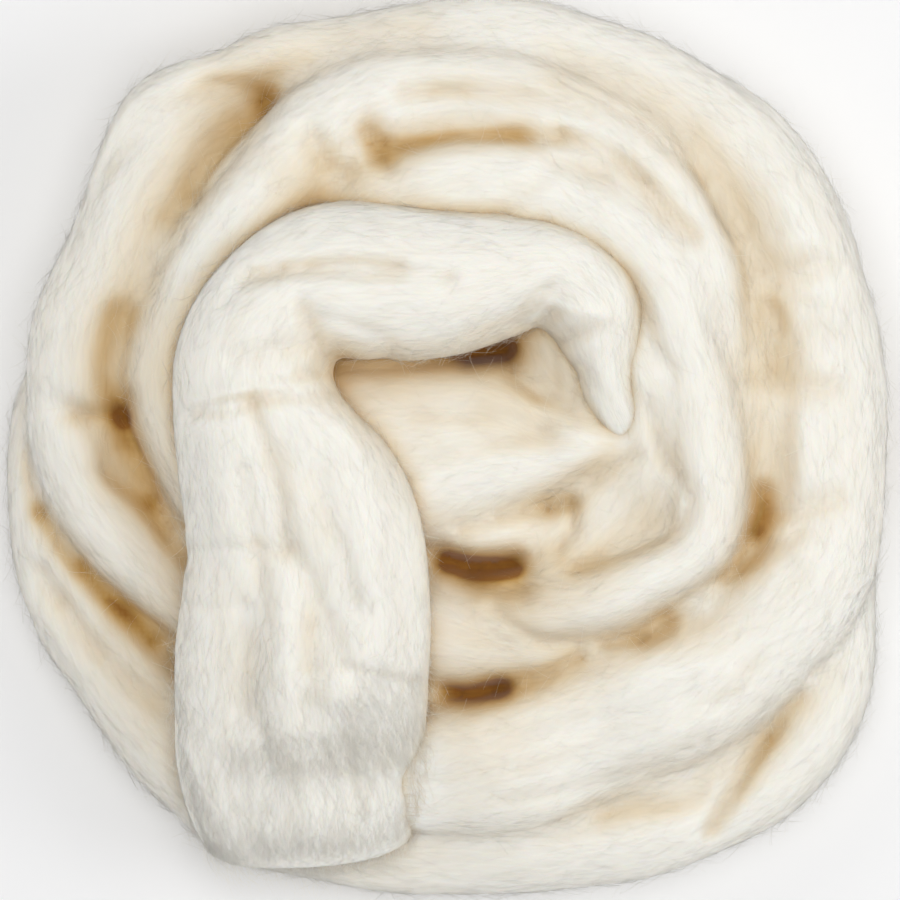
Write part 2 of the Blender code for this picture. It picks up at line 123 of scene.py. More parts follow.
TURNS = {
    # the lowest turn, on the floor, from the right over the back and round to the lobe at the front right
    "floor": [
        (86, -20, 14, 30, 32), (97, 2, 14, 32, 34), (102, 26, 14, 32, 34), (96, 56, 14, 32, 34),
        (82, 81, 14, 32, 34), (57, 98, 14, 32, 34), (27, 107, 14, 32, 34), (-5, 110, 14, 32, 34),
        (-37, 106, 14, 32, 34), (-65, 91, 14, 32, 34), (-87, 68, 14, 32, 34), (-102, 40, 14, 32, 34),
        (-111, 10, 15, 33, 34), (-114, -16, 16, 32, 34), (-108, -40, 16, 33, 34), (-96, -64, 16, 34, 34),
        (-78, -86, 16, 35, 34), (-56, -103, 15, 36, 34), (-29, -112, 15, 36, 34), (1, -114, 16, 35, 34),
        (29, -113, 17, 36, 34), (57, -109, 18, 38, 35), (81, -100, 18, 36, 36), (101, -82, 18, 35, 36),
        (111, -60, 17, 33, 35), (112, -35, 15, 32, 34), (108, -6, 14, 31, 34),
    ],
    # the outer turn, from under the loose end round the front, up the right and over the back to its tail
    "outer": [
        (-58, -93, 24, 26, 24), (-32, -96, 29, 33, 30, 1), (-2, -94, 32, 41, 32, 2, 6),
        (22, -89, 35, 46, 35, 3, 6), (48, -80, 37, 49, 36, 4, 10), (71, -69, 38, 48, 37, 4, 10),
        (91, -54, 38, 45, 37, 3, 10), (106, -36, 38, 41, 36, 3, 10), (110, -15, 38, 40, 36, 4, 10),
        (109, 7, 38, 41, 36, 4, 10), (108, 31, 38, 38, 36, 3, 10), (104, 55, 38, 34, 36, 2, 10),
        (90, 82, 38, 33, 36, 1, 10), (66, 103, 38, 32, 36, 1, 10), (36, 115, 37, 31, 35, 1, 10),
        (3, 116, 37, 29, 34, 1, 10), (-29, 115, 37, 26, 33, 1, 10), (-49, 116, 38, 20, 31, 0, 6),
        (-64, 113, 38, 15, 28), (-78, 107, 38, 12, 25), (-88, 101, 37, 11, 22), (-97, 90, 36, 9, 20),
        (-103, 78, 34, 7, 17), (-107, 65, 32, 5, 13),
    ],
    # its other length, from inside that tail down the left and under the loose end
    "outer_left": [
        (-51, 108, 29, 22, 25), (-64, 103, 32, 29, 29), (-77, 92, 34, 34, 32, 1, 4),
        (-90, 75, 35, 31, 33, 1, 6), (-97, 58, 36, 32, 32, 1, 8), (-105, 37, 36, 34, 31, 1, 8),
        (-107, 19, 35, 34, 30, 1, 8), (-107, 1, 34, 34, 29, 1, 6), (-100, -15, 33, 30, 28, 1, 4),
        (-88, -30, 32, 27, 27, 0, 4), (-74, -46, 30, 24, 26, 0, 4), (-52, -59, 30, 24, 26, 0, 4),
    ],
    # the middle turn, from under the inner one at the right over the back, down the left, under the loose end
    "middle": [
        (83, 18, 38, 13, 24, 0, 5), (82, 31, 42, 19, 30, 1, 5), (78, 44, 45, 24, 33, 1, 5),
        (75, 55, 48, 26, 34, 1, 5), (65, 73, 49, 28, 35, 1, 5), (49, 88, 50, 29, 36, 2, 5),
        (31, 99, 50, 30, 36, 2, 5), (13, 104, 50, 31, 36, 2, 5), (-6, 105, 50, 29, 36, 2, 5),
        (-20, 102, 50, 33, 36, 2, 5), (-34, 94, 50, 35, 36, 2, 5), (-46, 85, 50, 33, 36, 2, 5),
        (-58, 72, 50, 30, 35, 1, 5), (-71, 55, 49, 28, 34, 1, 5), (-78, 37, 47, 29, 33, 1, 5),
        (-80, 18, 45, 28, 32, 1, 5), (-77, 0, 43, 26, 31, 1), (-66, -18, 41, 25, 30),
        (-49, -35, 39, 25, 28), (-26, -48, 38, 26, 27), (-3, -53, 37, 30, 28), (9, -56, 38, 26, 27),
        (20, -58, 40, 18, 23), (32, -59, 43, 11, 18), (43, -57, 42, 5, 12),
    ],
    # the inner turn, from under the loose end over the back, down the right and back to the left
    "inner": [
        (-34, 62, 44, 21, 30), (-23, 72, 50, 25, 32), (-8, 78, 53, 28, 33, 1, 6),
        (10, 80, 54, 29, 33, 1, 6), (27, 77, 55, 29, 34, 2, 6), (42, 70, 55, 29, 34, 2, 6),
        (54, 59, 55, 28, 34, 2, 6), (64, 45, 54, 28, 34, 2, 6), (69, 31, 54, 27, 34, 2, 6),
        (73, 16, 53, 28, 34, 2, 6), (76, 0, 53, 26, 34, 1, 6), (78, -16, 52, 22, 33, 1, 6),
        (74, -29, 52, 21, 33, 1, 6), (61, -37, 52, 23, 32, 1, 6), (44, -44, 50, 25, 32, 1),
        (28, -47, 46, 23, 29, 1), (15, -45, 40, 20, 26), (2, -43, 33, 18, 24),
    ],
    # the tongue that fills the middle and folds back on itself at its right end
    "tongue": [
        (-52, -6, 44, 44, 24), (-29, 0, 46, 58, 27, 1), (-6, 1, 47, 61, 29, 2), (13, 3, 48, 48, 28, 2),
        (29, 1, 49, 28, 27, 1), (43, 1, 51, 18, 26), (53, 2, 54, 12, 24),
    ],
    # the drawn-in side of the tongue's fold, below the loose end's
    "cheek": [
        (30, 45, 42, 34, 24, 0, 14), (33, 34, 43, 38, 25, 1, 16), (39, 23, 45, 34, 25, 1, 16),
        (45, 13, 48, 25, 24, 0, 12), (52, 4, 51, 14, 22, 0, 6),
    ],
    # the small pouch on the middle turn at the back
    "pouch": [
        (-43, 83, 46, 19, 26), (-35, 85, 49, 25, 29), (-28, 86, 50, 25, 29), (-21, 86, 48, 16, 26),
    ],
    # the sunken lengths that close the gap between the outer and the inner turns
    "nook": [
        (87, 63, 34, 16, 28), (90, 41, 39, 21, 29), (91, 16, 42, 23, 29), (90, -1, 40, 21, 28),
        (86, -24, 35, 18, 27), (74, -41, 37, 18, 27), (57, -51, 38, 18, 26), (38, -60, 36, 15, 25),
        (20, -67, 32, 13, 22),
    ],
    # the sunken side between the inner turn and the tongue
    "wall": [
        (47, 44, 48, 15, 26), (55, 29, 53, 18, 28), (61, 13, 52, 24, 29), (61, -1, 48, 33, 30),
        (55, -15, 43, 41, 30), (46, -26, 42, 38, 30), (35, -36, 42, 31, 28), (25, -42, 39, 19, 24),
        (18, -45, 36, 12, 19),
    ],
    # the small bulge below the tongue
    "bulge": [
        (-2, -24, 40, 13, 23), (10, -24, 43, 15, 25), (22, -23, 43, 15, 25), (32, -22, 41, 11, 21),
    ],
}

LOOSE_END = [
    (56.7, -2, 42, 10, 15), (54.4, 5, 48, 17, 23, 0, 2), (49.7, 16, 51.5, 22, 29, 0.6, 4),
    (45.6, 31, 54.5, 25, 33, 0.6, 6), (40.9, 44, 57.5, 29, 36, 1.1, 6), (30.9, 52, 60.5, 27, 37, 1.7, 4),
    (15.9, 51, 62.5, 35, 38, 2.2, 2), (-2.1, 49, 63.5, 44, 38, 2.8), (-20, 49, 64.5, 47, 37, 2.8),
    (-37.9, 48, 65.5, 44, 35, 2.8), (-50.9, 39, 66.5, 44, 33, 2.8), (-57, 26, 67.5, 47, 29, 3.3),
    (-55.9, 13, 68.5, 52, 26, 4.4, 1), (-52, 0, 68.5, 59, 25, 5.5, 1.1),
    (-45.9, -15, 68.5, 68, 24, 6.6, 2.2), (-42, -29, 67.5, 72, 23, 7.2, 3.3),
    (-42, -47, 65, 75, 23, 7.7, 2), (-43.5, -63, 62, 75, 22, 7), (-42.6, -77, 57, 75, 20, 6, -2),
    (-41.9, -87, 51.5, 74, 18, 4, -3), (-41.2, -97, 46.5, 72, 16, 3, -2), (-40.6, -106, 42, 69, 15, 2),
    (-40, -114, 37, 63, 13, 1, 1), (-39.5, -121, 31.5, 56, 10, 1),
]

# Creases across or along a turn's upper side: depth, spread and path.
CREASES = {
    "outer_left": [
        (5, 3, [(-115, 13), (-103, 8), (-96, -8)]),
    ],
    "outer": [
        (1.8, 3.5, [(94, 53), (110, 52)]),
        (3, 3, [(15, -84), (45, -80), (73, -69)]),
    ],
    "middle": [
        (3, 3, [(-13, 103), (10, 104), (29, 100), (51, 93)]),
        (4, 4, [(-22, 95), (-24, 85), (-35, 83), (-40, 90)]),
    ],
    "inner": [
        (1.2, 3, [(13, 65), (22, 74), (30, 83)]),
        (1.2, 3, [(27, 66), (38, 76), (43, 84)]),
    ],
    "tongue": [
        (2.5, 4, [(-9, 12), (10, 9), (29, 4)]),
    ],
    "floor": [
        (4, 3, [(-121, -36), (-106, -57), (-93, -70), (-83, -77)]),
        (3, 2.6, [(101, -74), (93, -86), (86, -97), (78, -112)]),
    ],
    "loose_end": [
        (3, 3, [(-59, 50), (-44, 52), (-24, 51), (0, 50)]),
        (1, 2.5, [(27, 46), (21, 36)]),
        (1, 2.5, [(41, 35), (26, 31)]),
        (3, 2.5, [(-74, 13), (-57, 16), (-36, 22)]),
        (1.6, 2.6, [(-57, 12), (-52, 0), (-49, -16), (-47, -30), (-40, -37), (-37, -47), (-38, -62)]),
    ],
}

# Finer troughs (and ridges, with a depth below 0), pressed where the skin lies above "low":
# depth, spread, low, path and, where it isn't 1.3, the power that shapes the trough's sides.
STROKES = {
    "coil": [
        (2, 2.4, 25, [(-70, 108), (-61, 107), (-53, 104)]),
        (4.4, 2.6, 25, [(-51, 102), (-56, 93), (-61, 85), (-68, 78), (-73, 73)], 1.4),
        (1.6, 2, 25, [(-73, 73), (-77, 63), (-83, 55), (-88, 47)]),
        (1.6, 1.8, 20, [(-92, 42), (-94, 31), (-96, 19)]),
        (6, 2.6, 20, [(-94, 16), (-94, 10)], 1.6),
        (2.6, 2, 20, [(-94, 9), (-90, -1), (-87, -10), (-84, -21), (-81, -26)]),
        (3.2, 2.4, 20, [(-108, 11), (-101, 11), (-96, 12)]),
        (2.5, 3, 25, [(-101, -6), (-94, -11), (-87, -16)]),
        (1.5, 2.2, 30, [(-87, 102), (-96, 92), (-101, 80), (-104, 69)]),
        (1.5, 3, 30, [(-109, 63), (-111, 55)]),
        (3, 1.9, 30, [(33, 108), (45, 102), (57, 95), (63, 89), (71, 83), (75, 78)]),
        (1.6, 2, 30, [(79, 69), (85, 61), (87, 54), (88, 44)]),
        (2.8, 1.9, 45, [(-12, 104), (1, 105), (16, 104), (30, 102), (41, 99)]),
        (3.2, 2.2, 45, [(33, 92), (45, 88), (57, 78), (64, 69), (72, 62)]),
        (3.4, 1.7, 40, [(-18, 89), (-14, 88), (1, 91), (16, 91), (33, 90)], 1.2),
        (3.8, 2.4, 40, [(-23, 93), (-20, 88), (-17, 83)], 1.5),
        (2, 2, 40, [(-35, 84), (-34, 83)], 1.5),
        (1.6, 2.6, 45, [(-40, 94), (-38, 88), (-34, 83), (-30, 82)], 1.5),
        (1, 3, 45, [(-28, 101), (-30, 94), (-29, 88)], 1.5),
        (-2, 4, 45, [(-26, 88), (-24, 82)]),
        (-2, 3, 50, [(31, 88), (35, 88), (41, 85)]),
        (1.4, 2.6, 50, [(32, 83), (38, 83), (46, 81)]),
        (1, 3, 50, [(13, 65), (19, 72), (27, 78)], 1.5),
        (1, 3, 50, [(2, 76), (13, 82), (21, 85)], 1.5),
        (1.8, 2.8, 50, [(51, 51), (57, 43), (60, 31), (66, 23)]),
        (3, 2.4, 40, [(58, 13), (61, 3), (67, -7), (71, -15), (69, -21), (63, -26), (51, -31), (38, -34)]),
        (2.2, 2.6, 45, [(-18, -15), (-10, -6), (1, -1), (16, 3), (29, 6)]),
        (2, 3.5, 45, [(7, 11), (17, 10), (27, 8)]),
        (2.5, 2, 40, [(42, -8), (49, -4), (56, -1)]),
        (8, 2.6, 30, [(6, 27), (12, 28), (17, 29)], 1.8),
        (2, 1.8, 30, [(-33, 24), (-20, 24), (-5, 25), (4, 26)]),
        (2.4, 2.2, 30, [(18, 29), (19, 21), (27, 15)]),
        (1.2, 1.8, 40, [(36, 31), (37, 15)]),
        (1, 1.5, 40, [(31, 29), (32, 15)]),
        (3, 2, 35, [(4, -23), (16, -19), (29, -16), (36, -15)]),
        (3.5, 2, 30, [(37, -16), (37, -24), (33, -28)]),
        (9, 2.8, 15, [(-1, -32), (7, -34), (15, -34), (20, -33)], 1.8),
        (5, 4.4, 15, [(8, -38), (16, -41), (22, -41)], 1.6),
        (2, 3.5, 20, [(10, -40), (21, -41)]),
        (2.5, 1.8, 30, [(13, -46), (19, -51), (28, -56), (38, -56)]),
        (8, 2.6, 15, [(0, -71), (6, -72), (16, -70)], 2),
        (3.5, 1.98, 15, [(16, -70), (29, -66), (39, -60)]),
        (3.6, 1.9, 15, [(45, -56), (57, -54), (64, -48)]),
        (2.4, 4, 20, [(65, -48), (71, -48)]),
        (2.4, 2.2, 20, [(69, -43), (74, -39), (83, -36), (90, -31)]),
        (5, 2.6, 15, [(92, -12), (92, -18), (90, -24)], 1.5),
        (1.4, 2.6, 15, [(91, 21), (92, 6), (91, -12)]),
        (1.6, 2.2, 20, [(88, 44), (88, 32), (89, 21)]),
        (2.4, 2.4, 15, [(89, -26), (86, -33), (80, -37)]),
        (2.6, 1.6, 25, [(93, 44), (97, 41), (98, 35)]),
        (3.4, 4.2, 25, [(93, 39), (93, 31), (93, 23)], 2.0),
        (2, 3.6, 30, [(88, 51), (93, 49), (103, 52), (110, 55)], 1.4),
        (2.4, 3, 30, [(96, 19), (104, 18), (113, 19)], 1.4),
        (2.8, 3, 25, [(94, -18), (104, -17), (114, -14)], 1.4),
        (2, 2.6, 25, [(92, -29), (98, -27), (103, -24)], 1.4),
        (3, 1.4, 25, [(76, -85), (77, -86)]),
        (1.8, 2.2, 25, [(92, -60), (85, -69), (79, -74)]),
        (1.5, 3, 25, [(21, -94), (39, -90), (57, -82), (74, -74)]),
        (1.5, 2.5, 25, [(16, -103), (36, -100), (57, -94), (71, -87)]),
        (3.6, 2, 8, [(104, -72), (99, -77), (96, -83), (91, -90), (86, -99), (81, -106), (77, -113)]),
        (3, 3, 8, [(45, -106), (54, -104), (65, -104), (75, -102)]),
        (3, 2.5, 5, [(122, -45), (116, -53), (108, -65)]),
        (3.4, 2, 8, [(-107, -34), (-99, -41), (-93, -46), (-87, -50), (-81, -54)]),
        (3, 2, 10, [(-120, -18), (-116, -23), (-112, -26), (-107, -32)]),
        (3, 2, 10, [(-124, -1), (-123, -9), (-120, -18)]),
        (2, 1.8, 8, [(-113, -45), (-107, -54), (-99, -63), (-91, -70), (-84, -74)]),
        (1.5, 2, 8, [(-120, -35), (-114, -45)]),
        (1.2, 2, 8, [(-105, -68), (-96, -77), (-87, -87)]),
        (-2.6, 6, 30, [(104, 7), (105, -6)], 1.8),
        (-2, 4.5, 30, [(105, 29), (109, 24)], 1.8),
        (-2.2, 6.5, 30, [(99, 74), (103, 63)], 1.8),
        (-2, 5, 30, [(100, -26), (104, -30)], 1.8),
        (1.6, 3, 30, [(101, 44), (108, 41), (113, 35)], 1.4),
        (2, 2.4, 30, [(57, -56), (60, -55), (65, -52)]),
        (-1.6, 3, 30, [(68, -51), (73, -46)], 1.8),
        (3.6, 4.2, 20, [(-96, 40), (-98, 31), (-99, 22), (-97, 13), (-93, 3)], 1.6),
        (2.4, 2.6, 5, [(-114, -28), (-105, -38), (-95, -47), (-86, -56)], 1.4),
        (2, 2.6, 40, [(-21, 84), (-11, 88), (1, 91), (21, 92)], 1.4),
    ],
    "loose_end": [
        (2.2, 2.6, 60, [(-64, 44), (-56, 50), (-46, 52), (-31, 54), (-14, 53)]),
        (3, 2.6, 50, [(-42, 42), (-39, 34), (-36, 28), (-31, 24)]),
        (-1.8, 1.6, 50, [(-74, 14), (-58, 17), (-43, 19), (-35, 21)]),
        (1.6, 2.2, 50, [(-76, 10), (-62, 11), (-56, 14), (-46, 15), (-34, 17)]),
        (2, 3.4, 50, [(-62, 26), (-52, 29), (-40, 31)]),
        (1.2, 1.6, 50, [(-56, 13), (-53, 3), (-50, -6), (-47, -16), (-47, -24)], 1.2),
        (1.6, 5, 50, [(-46, -28), (-41, -35), (-38, -46), (-39, -59), (-40, -71)], 1.4),
        (1.4, 2.5, 50, [(-76, -29), (-61, -28), (-46, -29)]),
        (1.8, 2, 50, [(-29, -63), (-18, -66), (-6, -68)]),
        (1.2, 3, 50, [(-79, -44), (-68, -46), (-58, -45)]),
        (2, 1.8, 45, [(30, 48), (26, 43), (22, 36)]),
        (1.6, 1.8, 45, [(44, 36), (37, 33), (29, 31)]),
        (-2, 3, 50, [(29, 43), (38, 40), (45, 39)]),
        (-0.8, 4, 35, [(-68, -84), (-52, -83), (-34, -82)], 1.6),
        (1.4, 6, 30, [(-62, -93), (-46, -95), (-29, -96), (-14, -94)], 1.6),
        (-1, 2.6, 25, [(-76, -86), (-73, -96), (-69, -104)]),
        (-3, 7, 50, [(-30, 7), (-25, -4), (-22, -16), (-24, -28)], 1.8),
        (-2.6, 6, 50, [(-22, -37), (-19, -47), (-23, -59), (-30, -71)], 1.8),
        (-2.2, 5, 50, [(-47, -51), (-47, -65), (-46, -79)], 1.8),
        (-1.6, 8, 50, [(-68, 3), (-66, -12), (-64, -24)], 1.8),
        (-1.6, 6, 50, [(-75, -41), (-74, -51), (-75, -62)], 1.8),
        (1.6, 3.5, 50, [(-34, -49), (-32, -59), (-28, -66), (-18, -69)], 1.4),
        (1.4, 4, 50, [(-60, -44), (-58, -59), (-59, -74)], 1.4),
        (1.2, 3, 50, [(-17, -32), (-13, -44), (-11, -56)], 1.4),
        (-1.4, 3, 50, [(-29, 15), (-28, 7), (-25, 0)], 1.4),
        (1.8, 3.2, 50, [(-38, -6), (-34, -21), (-29, -32), (-27, -44)], 1.4),
        (1.4, 3, 50, [(-59, -6), (-58, -21), (-54, -35), (-53, -50)], 1.4),
        (1.6, 3.4, 40, [(-54, -82), (-51, -94), (-53, -106)], 1.4),
        (1.6, 3.4, 40, [(-30, -84), (-28, -96), (-25, -106)], 1.4),
        (-1.6, 4, 40, [(-41, -91), (-40, -103), (-39, -112)], 1.8),
        (1.2, 3, 50, [(-12, 64), (4, 62), (21, 55)], 1.4),
        (1, 3, 50, [(-34, 64), (-43, 59), (-52, 55)], 1.4),
    ],
}

# Patches of painted shade, a warmer tan than the folds alone paint, or (below 0) of painted light, whiter:
# amount, spread and path.
PAINTED_SHADE_PATCHES = {
    "coil": [
        (0.2, 8, [(-97, 40), (-101, 29), (-101, 18), (-96, 6), (-89, -7)]),
        (0.2, 5, [(-61, 94), (-73, 79), (-81, 68)]),
        (0.1, 9, [(-68, 97), (-83, 76), (-92, 56), (-87, 41), (-87, 21)]),
        (0.1, 7, [(-67, 110), (-54, 115), (-34, 120), (-8, 123)]),
        (0.12, 7, [(33, 109), (45, 106), (57, 100), (70, 90)]),
        (0.14, 5, [(-26, 81), (-14, 87), (1, 91), (21, 92)]),
        (0.18, 4, [(-120, -19), (-111, -32), (-99, -46), (-86, -56)]),
        (0.3, 3, [(2, 29), (10, 28), (18, 30)]),
        (0.16, 9, [(13, -40), (21, -44), (33, -41), (42, -35)]),
        (0.1, 9, [(10, -56), (24, -59), (33, -62), (16, -71)]),
        (0.08, 6, [(91, 44), (93, 29), (91, 12)]),
        (-0.08, 8, [(-2, -7), (13, -15), (29, -16)]),
        (0.05, 9, [(-14, 9), (7, 10)]),
        (0.14, 7, [(14, 12), (23, 11)]),
        (0.34, 3.5, [(1, -33), (11, -35), (20, -37)]),
        (0.16, 4, [(29, -30), (33, -32)]),
        (0.12, 5, [(-95, -48), (-87, -52)]),
        (0.04, 16, [(7, -85), (21, -97)]),
        (-0.06, 12, [(57, 62), (61, 35)]),
        (-0.1, 8, [(99, 6), (101, -12)]),
        (-0.1, 8, [(74, -44), (86, -41)]),
        (-0.08, 8, [(45, -60), (57, -62)]),
        (0.06, 9, [(-99, -56), (-87, -76)]),
        (-0.05, 12, [(116, -50), (104, -85), (74, -112), (16, -121)]),
        (0.12, 8, [(-46, 81), (-31, 78), (-17, 81)]),
        (-0.03, 6, [(-80, -6), (-81, 21), (-77, 47), (-61, 67), (-34, 75), (1, 74), (33, 70), (54, 56),
            (60, 35)]),
        (-0.09, 6, [(-26, 18), (-14, 6), (-5, -18), (-1, -44), (-2, -71), (-6, -94), (-9, -112)]),
        (0.05, 6, [(-29, 19), (-14, 18)]),
    ],
    "loose_end": [
        (-0.03, 400, [(-43, -15), (-34, 44)]),
        (0.06, 9, [(-58, 29), (-51, 26)]),
        (0.05, 8, [(-52, 12), (-46, -9), (-42, -26)]),
        (0.05, 12, [(-65, -41), (-64, -62)]),
        (0.05, 8, [(4, 44), (10, 35)]),
        (-0.1, 6, [(29, 35), (41, 24), (48, 6)]),
        (-0.06, 8, [(-76, 44), (-68, 57), (-49, 71), (-20, 72), (21, 69)]),
    ],
}

# Lengthwise bundles: height, wavelength across and wavelength along, in millimetres.
BUNDLES = [Bundle(0.9, 18, 60), Bundle(0.25, 8, 30)]
PUFF = Bundle(2.3, 28, 26)          # soft swellings
FOLD = Bundle(1.1, 24, 75)          # lengthwise folds, which only sink
FOLD_WIDTH = 0.13                   # of the noise's range


# ---------------------------------------------------------------- noise
def lattice(seed):
    """A table of random heights from -1 to 1."""
    return np.random.RandomState(seed).uniform(-1, 1, (256, 256))


def noise(x, y, seed, wrap=256):
    """Smooth noise from -1 to 1. It repeats every wrap cells in y."""
    table = lattice(seed)
    x0, y0 = np.floor(x).astype(int), np.floor(y).astype(int)
    fx, fy = x - x0, y - y0
    fx, fy = fx * fx * (3 - 2 * fx), fy * fy * (3 - 2 * fy)
    xa, xb = x0 % 256, (x0 + 1) % 256
    ya, yb = y0 % wrap, (y0 + 1) % wrap
    low = table[xa, ya] * (1 - fx) + table[xb, ya] * fx
    high = table[xa, yb] * (1 - fx) + table[xb, yb] * fx
    return low * (1 - fy) + high * fy


# ---------------------------------------------------------------- turns
def smooth_rows(rows, step):
    """The rows on a Catmull-Rom curve, resampled at even steps along it."""
    rows = np.array([Section(*row) for row in rows], float)
    last = len(rows) - 1
    t = np.linspace(0, 1, 32, endpoint=False)[:, None]
    dense = []
    for i in range(last):
        a, b, c, d = rows[max(i - 1, 0)], rows[i], rows[i + 1], rows[min(i + 2, last)]
        dense.append(0.5 * (2 * b + (c - a) * t + (2 * a - 5 * b + 4 * c - d) * t ** 2
                            + (3 * b - a - 3 * c + d) * t ** 3))
    dense = np.vstack(dense + [rows[-1:]])
    run = np.concatenate([[0], np.cumsum(np.linalg.norm(np.diff(dense[:, :3], axis=0), axis=1))])
    count = max(8, int(round(run[-1] / step)))
    s = np.linspace(0, run[-1], count + 1)
    return np.stack([np.interp(s, run, dense[:, k]) for k in range(dense.shape[1])], axis=1), s


def ring_shape(aspect, count, roundness):
    """Even points round a superellipse of the given width over thickness, from the underside on."""
    angle = np.linspace(-math.pi / 2, 1.5 * math.pi, 2001)
    across = np.sign(np.cos(angle)) * np.abs(np.cos(angle)) ** (2 / roundness)
    lift = np.sign(np.sin(angle)) * np.abs(np.sin(angle)) ** (2 / roundness)
    run = np.concatenate([[0], np.cumsum(np.hypot(np.diff(across) * aspect, np.diff(lift)))])
    at = np.linspace(0, run[-1], count, endpoint=False)
    return np.interp(at, run, across), np.interp(at, run, lift)


def unit(v):
    return v / np.maximum(np.linalg.norm(v, axis=-1, keepdims=True), 1e-9)


def grid_normals(points):
    """Outward normals of a grid of rings."""
    along = np.gradient(points, axis=0)
    around = np.roll(points, -1, axis=1) - np.roll(points, 1, axis=1)
    return unit(np.cross(around, along))


class Turn:
    """One stretch of the strand: a closed grid of points, in millimetres, with the strand's flow at each."""

    def __init__(self, name, rows, seed):
        self.name, self.seed = name, seed
        sections, self.s = smooth_rows(rows, GRID)
        wide, thick, droop, lean = sections[:, 3:].T
        wide, thick = wide / 2, thick / 2
        self.girth = 2 * math.pi * np.sqrt((wide ** 2 + thick ** 2) / 2).mean()
        self.around = int(round(self.girth / GRID))
        roundness = END_ROUNDNESS if name == "loose_end" else ROUNDNESS
        across, lift = ring_shape(wide.mean() / thick.mean(), self.around, roundness)
        self.v = np.arange(self.around) * self.girth / self.around
        along = unit(np.gradient(sections[:, :3], axis=0))
        level = unit(np.cross([0, 0, 1], along))
        above = np.cross(along, level)
        lean = np.radians(lean)[:, None]
        side = level * np.cos(lean) + above * np.sin(lean)
        up = np.cross(along, side)
        share = np.minimum(1, np.minimum(self.s, self.s[-1] - self.s) / thick + 0.05)
        self.fade = np.sqrt(1 - (1 - share) ** 2)
        wide, thick = wide * self.fade, thick * self.fade
        centre = np.repeat(sections[:, None, :3], self.around, axis=1)
        centre[:, :, 2] -= droop[:, None] * across[None] ** 2
        self.points = (centre + side[:, None] * (wide[:, None] * across[None])[..., None]
                       + up[:, None] * (thick[:, None] * lift[None])[..., None])
        self.points += grid_normals(self.points) * self.relief()[..., None]
        self.flow = unit(np.gradient(self.points, axis=0))

    def relief(self):
        """How far swellings, bundles and folds raise each point, and creases press it."""
        s, v = np.meshgrid(self.s, self.v, indexing="ij")
        height = np.zeros(s.shape)
        for k, bundle in enumerate(BUNDLES + [PUFF]):
            cells = max(2, int(round(self.girth / bundle.across)))
            height += bundle.height * noise(s / bundle.along, v * cells / self.girth, self.seed + k, cells)
        cells = max(2, int(round(self.girth / FOLD.across)))
        wave = noise(s / FOLD.along, v * cells / self.girth, self.seed + 9, cells)
        height -= FOLD.height * np.exp(-(wave / FOLD_WIDTH) ** 2)
        upper = np.clip(grid_normals(self.points)[:, :, 2] * 3, 0, 1)
        for crease in [Crease(*row) for row in CREASES.get(self.name, [])]:
            away = path_distance(self.points[:, :, :2], crease.path)
            height -= crease.depth * np.exp(-(away / crease.spread) ** 2) * upper
        return height * self.fade[:, None] * (END_RELIEF if self.name == "loose_end" else 1)


def path_distance(points, path):
    """Plan distance from points to a polyline."""
    best = np.full(points.shape[:-1], np.inf)
    for start, stop in zip(path, path[1:]):
        start, run = np.array(start, float), np.array(stop, float) - np.array(start, float)
        t = np.clip(((points - start) @ run) / (run @ run), 0, 1)
        best = np.minimum(best, np.linalg.norm(points - start - t[..., None] * run, axis=-1))
    return best


def hidden_rows():
    """The unseen turns on the floor: one round turn, then a spiral inward."""
    first, fall, wide, thick = HIDDEN_TURN
    rows = []
    for turned in range(0, 66):
        turns = turned / 24
        radius = first - fall * max(0.0, turns - 0.8)
        angle = 2 * math.pi * turns
        x, y = HIDDEN_CENTRE[0] + radius * math.cos(angle), HIDDEN_CENTRE[1] + radius * math.sin(angle)
        rows.append((x, y, thick / 2 - 2, wide, thick))
    return rows


def lifted_rows():
    """The unseen turn half way up, under the inner ones."""
    radius, height, wide, thick = LIFTED_TURN
    step = 2 * math.pi / 15
    return [(radius * math.cos(turned * step), radius * math.sin(turned * step), height, wide, thick)
            for turned in range(16)]


# ---------------------------------------------------------------- skins
def grid_faces(rings, around):
    """The quads of a closed tube, and the triangles of its two ends, on two added points."""
    ring, k = np.meshgrid(np.arange(rings - 1), np.arange(around), indexing="ij")
    a, b = ring * around + k, ring * around + (k + 1) % around
    quads = np.stack([a, b, b + around, a + around], axis=-1).reshape(-1, 4)
    first, last = rings * around, rings * around + 1
    k = np.arange(around)
    after = (k + 1) % around
    base = (rings - 1) * around
    caps = np.concatenate([np.stack([np.full(around, first), after, k], 1),
                           np.stack([np.full(around, last), base + k, base + after], 1)])
    return quads, caps


def make_mesh(name, co, quads, tris=np.zeros((0, 3), int)):
    """A smooth mesh object from arrays of points and faces."""
    mesh = bpy.data.meshes.new(name)
    mesh.vertices.add(len(co))
    mesh.vertices.foreach_set("co", co.astype(np.float32).ravel())
    loops = np.concatenate([quads.ravel(), tris.ravel()]).astype(np.int32)
    starts = np.concatenate([np.arange(len(quads)) * 4, len(quads) * 4 + np.arange(len(tris)) * 3])
    mesh.loops.add(len(loops))
    mesh.loops.foreach_set("vertex_index", loops)
    mesh.polygons.add(len(starts))
    mesh.polygons.foreach_set("loop_start", starts.astype(np.int32))
    mesh.polygons.foreach_set("use_smooth", np.ones(len(starts), bool))
    mesh.update(calc_edges=True)
    piece = bpy.data.objects.new(name, mesh)
    bpy.context.collection.objects.link(piece)
    return piece


def add_value(piece, key, values):
    """A number on each point of a piece."""
    layer = piece.data.attributes.new(key, "FLOAT", "POINT")
    layer.data.foreach_set("value", values.astype(np.float32).ravel())


